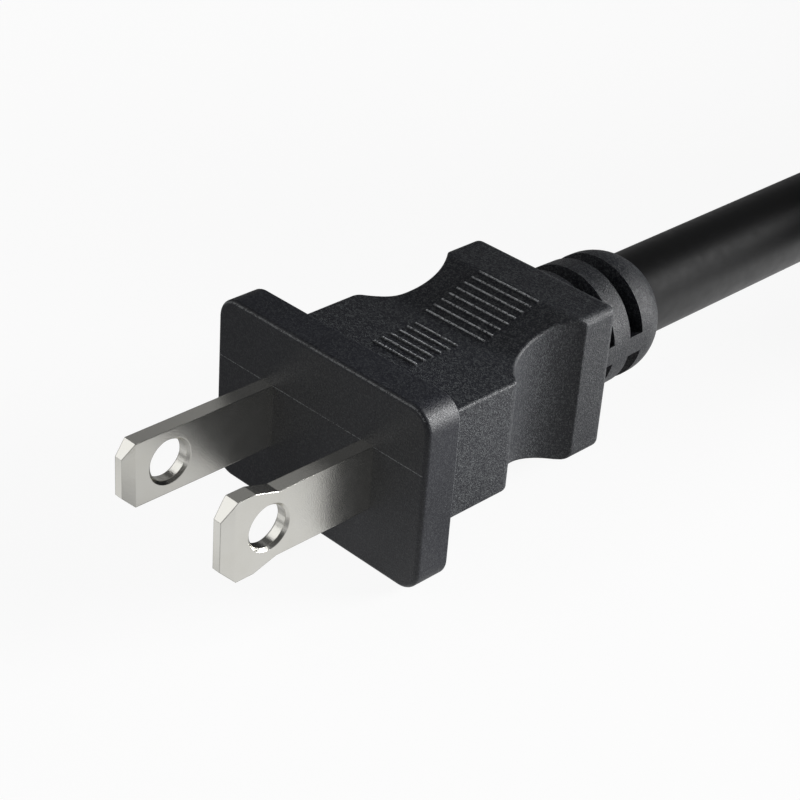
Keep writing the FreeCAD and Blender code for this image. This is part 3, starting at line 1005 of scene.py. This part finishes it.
def paper_with_painted_light():
    """Matte paper: white where it is seen; where the plug mirrors it, painted shade with painted
    pools of light, palest by the plug and paler far ahead.
    """
    material = new_material("paper_with_painted_light")
    tree = material.node_tree
    path = add_node(tree, "ShaderNodeLightPath")
    seen = add_node(
        tree,
        "ShaderNodeMath",
        {0: path.outputs["Is Camera Ray"], 1: path.outputs["Is Transmission Ray"]},
        operation="MAXIMUM",
    )
    white = add_node(tree, "ShaderNodeEmission", {"Color": WHITE, "Strength": PAPER_SEEN})
    shadow = add_node(tree, "ShaderNodeBsdfDiffuse", {"Color": PAPER_SHADOW})
    shown = add_node(tree, "ShaderNodeAddShader", {0: white.outputs[0], 1: shadow.outputs[0]})
    place = add_node(tree, "ShaderNodeTexCoord").outputs["Object"]
    axes = add_node(tree, "ShaderNodeSeparateXYZ", {0: place})
    # Painted light: the mirrored paper grows paler far in front of the plug
    painted_glow = add_node(
        tree,
        "ShaderNodeMapRange",
        {
            "Value": axes.outputs[1],
            "From Min": AHEAD_START,
            "From Max": AHEAD_END,
            "To Max": AHEAD_STRENGTH,
        },
    )
    # Painted pools of light, brightest where the plug mirrors them
    for middle, inner, outer, strength in PAINTED_LIGHT_POOLS:
        reach = add_node(tree, "ShaderNodeVectorMath", {0: place, 1: middle}, operation="DISTANCE")
        painted_pool = add_node(
            tree,
            "ShaderNodeMapRange",
            {
                "Value": reach.outputs["Value"],
                "From Min": inner,
                "From Max": outer,
                "To Min": strength,
                "To Max": PAINTED_MIRROR_SHADE,
            },
        )
        painted_glow = add_node(
            tree, "ShaderNodeMath", {0: painted_glow.outputs[0], 1: painted_pool.outputs[0]}, operation="MAXIMUM"
        )
    # Painted reflection: the paper glows at these strengths only for rays that the plug mirrors
    painted_reflection = add_node(
        tree, "ShaderNodeEmission", {"Color": WHITE, "Strength": painted_glow.outputs[0]}
    )
    paper = add_node(tree, "ShaderNodeBsdfDiffuse", {"Color": PAPER_SHADE})
    glossy = add_node(
        tree,
        "ShaderNodeMixShader",
        {0: path.outputs["Is Glossy Ray"], 1: paper.outputs[0], 2: painted_reflection.outputs[0]},
    )
    mix = add_node(
        tree,
        "ShaderNodeMixShader",
        {0: seen.outputs[0], 1: glossy.outputs[0], 2: shown.outputs[0]},
    )
    add_node(tree, "ShaderNodeOutputMaterial", {"Surface": mix.outputs[0]})
    return material


def lay_paper(context):
    """A round sheet of paper under the plug that turns up into a wall all round."""
    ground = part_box("plug_body")[0][2]
    sheet = bmesh.new()
    bmesh.ops.create_circle(sheet, cap_ends=True, segments=96, radius=SHEET_RADIUS)
    bmesh.ops.translate(sheet, verts=sheet.verts, vec=(0.0, SHEET_MIDDLE, ground))
    border = [edge for edge in sheet.edges if edge.is_boundary]
    wall = bmesh.ops.extrude_edge_only(sheet, edges=border)
    risen = [item for item in wall["geom"] if isinstance(item, bmesh.types.BMVert)]
    bmesh.ops.translate(sheet, verts=risen, vec=(0.0, 0.0, SHEET_WALL))
    mesh = bpy.data.meshes.new("backdrop")
    sheet.to_mesh(mesh)
    sheet.free()
    mesh.materials.append(paper_with_painted_light())
    backdrop = bpy.data.objects.new("backdrop", mesh)
    context.scene.collection.objects.link(backdrop)


def light_studio(context, stage):
    """The soft boxes and the even light of the room."""
    key = soft_box(context, "key_light", *KEY_BOX, stage.key_power)
    # The low lamp passes by the cord, which would mirror it as a hard streak
    aim_at(key, [bpy.data.objects["mains_cord"]], "EXCLUDE")
    soft_box(context, "top_light", *TOP_BOX, stage.top_power)
    # A narrow beam on one corner of the moulding, which passes by the blades
    corner = soft_box(
        context,
        "corner_light",
        *CORNER_BOX,
        stage.corner_power,
        target=FLANGE_CORNER,
        spread=CORNER_BEAM,
    )
    aim_at(corner, [piece("plug_body")], "INCLUDE")
    rim = soft_box(context, "rim_light", *RIM_BOX, stage.rim_power)
    aim_at(rim, [piece("line_blade"), piece("neutral_blade")], "INCLUDE")
    soft_box(context, "fill_light", *FILL_BOX, stage.fill_power)

    world = bpy.data.worlds.new("studio_room")
    world.use_nodes = True
    ceiling = world.node_tree.nodes["Background"]
    ceiling.inputs["Color"].default_value = WHITE
    ceiling.inputs["Strength"].default_value = stage.ceiling
    context.scene.world = world


def place_camera(context, stage):
    """The camera where the photo was taken, turned a little about its line of sight."""
    az, el, roll = stage.azimuth, stage.elevation, stage.roll
    back = Vector((math.sin(az) * math.cos(el), -math.cos(az) * math.cos(el), math.sin(el)))
    right = Vector((math.cos(az), math.sin(az), 0.0))
    up = back.cross(right)
    spot = back * stage.distance + right * stage.slide_right + up * stage.slide_up
    turned_right = right * math.cos(roll) + up * math.sin(roll)
    turned_up = up * math.cos(roll) - right * math.sin(roll)
    lens = bpy.data.cameras.new("photo_camera")
    lens.lens = stage.lens
    lens.sensor_width = SENSOR_WIDTH
    lens.clip_start = NEAREST_SEEN
    camera = bpy.data.objects.new("photo_camera", lens)
    context.scene.collection.objects.link(camera)
    turn = Matrix((turned_right, turned_up, back)).transposed().to_4x4()
    camera.matrix_world = Matrix.Translation(spot) @ turn
    context.scene.camera = camera


class PLUG_OT_set_stage(Operator):
    """Set the floor with its backdrop, the soft boxes and the camera"""

    bl_idname = "plug.set_stage"
    bl_label = "Set stage"

    def execute(self, context):
        stage = context.scene.plug_stage
        lay_paper(context)
        light_studio(context, stage)
        place_camera(context, stage)
        context.scene.view_settings.view_transform = "Standard"
        return {"FINISHED"}


class PLUG_PT_build(Panel):
    bl_idname = "PLUG_PT_build"
    bl_label = "Two-blade plug"
    bl_space_type = "VIEW_3D"
    bl_region_type = "UI"
    bl_category = "Plug"

    def draw(self, context):
        layout = self.layout
        for group in (
            context.scene.plug_finishes,
            context.scene.plug_forms,
            context.scene.plug_cord,
            context.scene.plug_stage,
        ):
            box = layout.box()
            for name in group.__annotations__:
                box.prop(group, name)
        for operator in OPERATORS:
            layout.operator(operator.bl_idname)


GROUPS = (PlugFinishes, PlugForms, PlugCord, PlugStage)
OPERATORS = (
    PLUG_OT_dress_moulding,
    PLUG_OT_dress_blades,
    PLUG_OT_dress_cores,
    PLUG_OT_lay_cord,
    PLUG_OT_set_stage,
)


def register():
    for group in GROUPS:
        bpy.utils.register_class(group)
    for operator in OPERATORS:
        bpy.utils.register_class(operator)
    bpy.utils.register_class(PLUG_PT_build)
    bpy.types.Scene.plug_finishes = PointerProperty(type=PlugFinishes)
    bpy.types.Scene.plug_forms = PointerProperty(type=PlugForms)
    bpy.types.Scene.plug_cord = PointerProperty(type=PlugCord)
    bpy.types.Scene.plug_stage = PointerProperty(type=PlugStage)


def unregister():
    del bpy.types.Scene.plug_stage
    del bpy.types.Scene.plug_cord
    del bpy.types.Scene.plug_forms
    del bpy.types.Scene.plug_finishes
    bpy.utils.unregister_class(PLUG_PT_build)
    for operator in reversed(OPERATORS):
        bpy.utils.unregister_class(operator)
    for group in reversed(GROUPS):
        bpy.utils.unregister_class(group)


def main():
    register()
    bpy.ops.plug.dress_moulding()
    bpy.ops.plug.dress_blades()
    bpy.ops.plug.dress_cores()
    bpy.ops.plug.lay_cord()
    bpy.ops.plug.set_stage()


if __name__ == "__main__":
    main()
